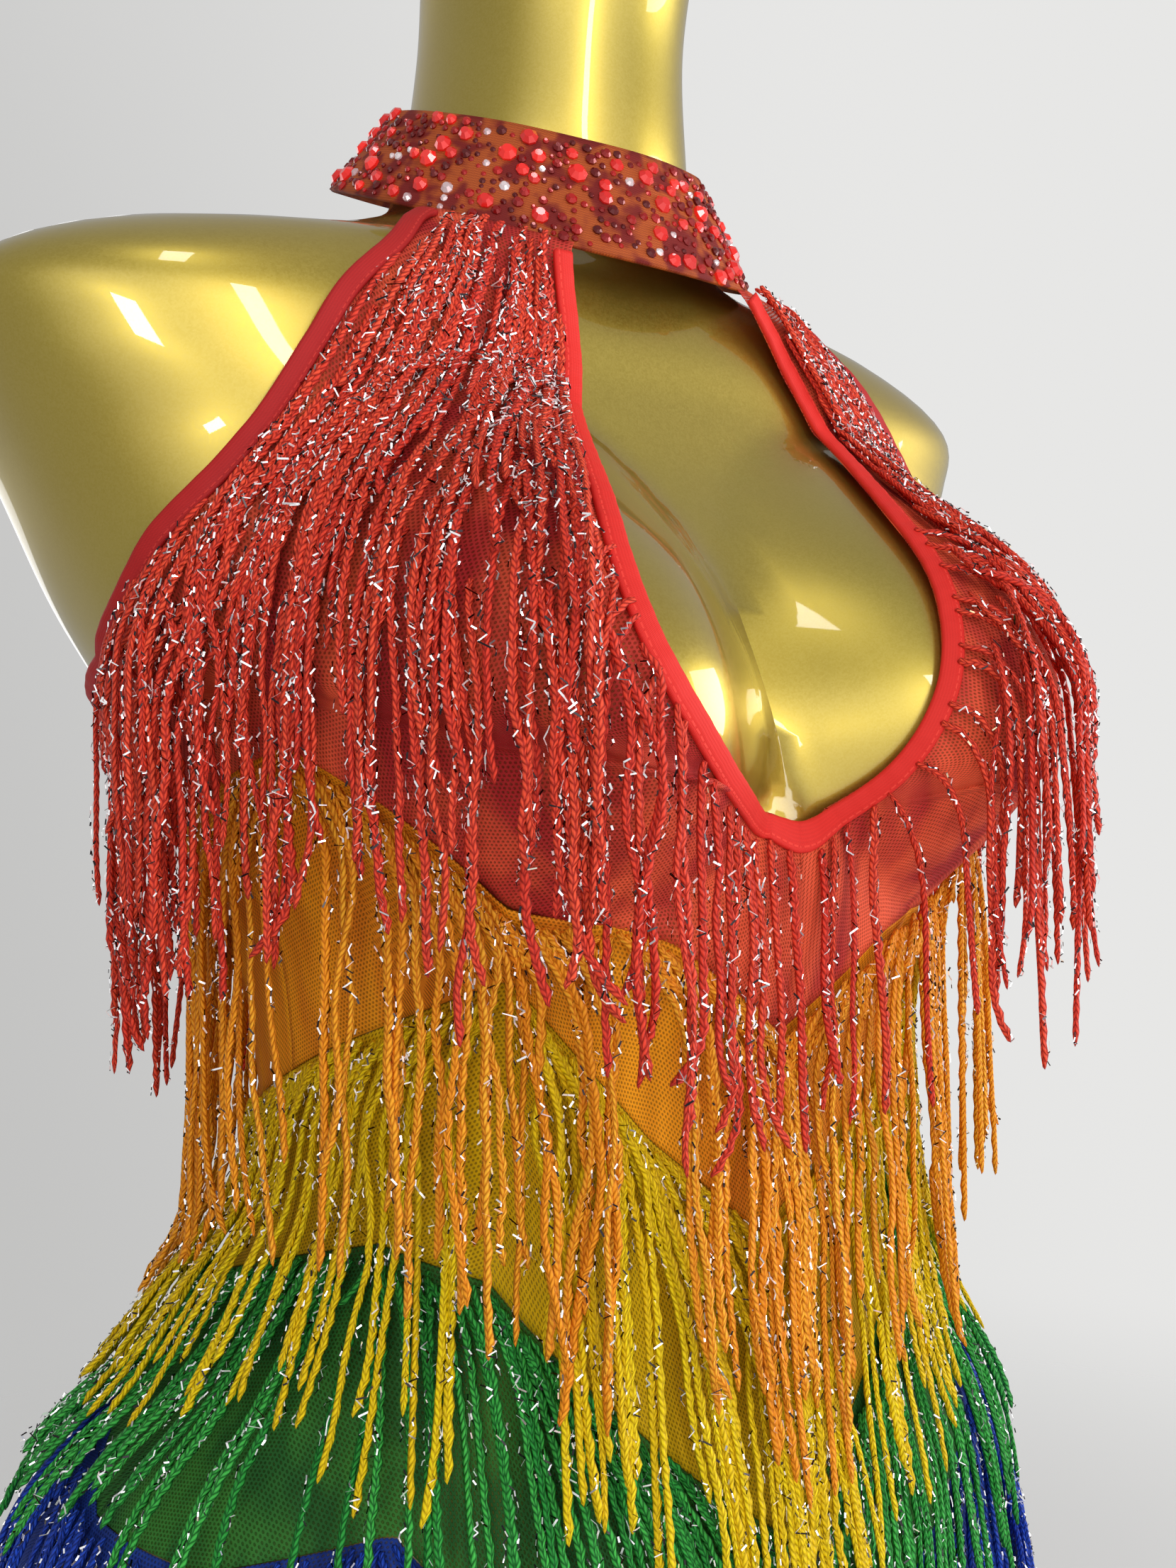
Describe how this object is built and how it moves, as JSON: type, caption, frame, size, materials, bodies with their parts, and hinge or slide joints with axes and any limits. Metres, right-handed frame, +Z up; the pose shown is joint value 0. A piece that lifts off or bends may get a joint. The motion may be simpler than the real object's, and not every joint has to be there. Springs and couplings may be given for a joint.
{
  "type": "fringed sequin bodysuit on limbless torso display form",
  "caption": "Halter-neck stage bodysuit with a teardrop keyhole and hanging tiers of braided fringe in rainbow colours, worn by a smooth gold torso display form that stands on its cut thighs",
  "frame": {"origin": "centre of the bounding box at floor level, under the flat cut ends of the thighs", "axes": "+Z up, -Y towards the front of the figure, +X towards the figure's left"},
  "size_m": [0.3752, 0.2841, 0.705],
  "materials": {
    "form": "smooth plastic with a glossy greenish-gold metallic lacquer",
    "collar": "red and nude stretch net scattered with glued red rhinestones",
    "red_net": "fine hexagonal stretch net, slightly see-through",
    "orange_net": "fine hexagonal stretch net, slightly see-through",
    "yellow_net": "fine hexagonal stretch net, slightly see-through",
    "green_net": "fine hexagonal stretch net, slightly see-through",
    "blue_net": "fine hexagonal stretch net, slightly see-through",
    "red_binding": "matt stretch binding with a topstitched edge",
    "blue_binding": "matt stretch binding with a topstitched edge",
    "red_strand": "chain-stitched rayon cord with silver tinsel",
    "orange_strand": "chain-stitched rayon cord with silver tinsel",
    "yellow_strand": "chain-stitched rayon cord with silver tinsel",
    "green_strand": "chain-stitched rayon cord with silver tinsel",
    "blue_strand": "chain-stitched rayon cord with silver tinsel"
  },
  "bodies": {
    "root": {"torso_form": "form", "collar": "collar", "red_front_left": "red_net", "red_front_right": "red_net", "red_back": "red_net", "orange_front": "orange_net", "orange_back": "orange_net", "yellow_front": "yellow_net", "yellow_back": "yellow_net", "green_front": "green_net", "green_back": "green_net", "blue_front": "blue_net", "blue_back": "blue_net", "gusset": "blue_net", "keyhole_binding_left": "red_binding", "keyhole_binding_right": "red_binding", "armhole_binding_left": "red_binding", "armhole_binding_right": "red_binding", "leg_binding_left": "blue_binding", "leg_binding_right": "blue_binding", "red_fringe_left": "red_strand", "red_fringe_right": "red_strand", "red_fringe_back": "red_strand", "orange_fringe": "orange_strand", "yellow_fringe": "yellow_strand", "green_fringe": "green_strand", "blue_fringe": "blue_strand"}
  },
  "joints": []
}
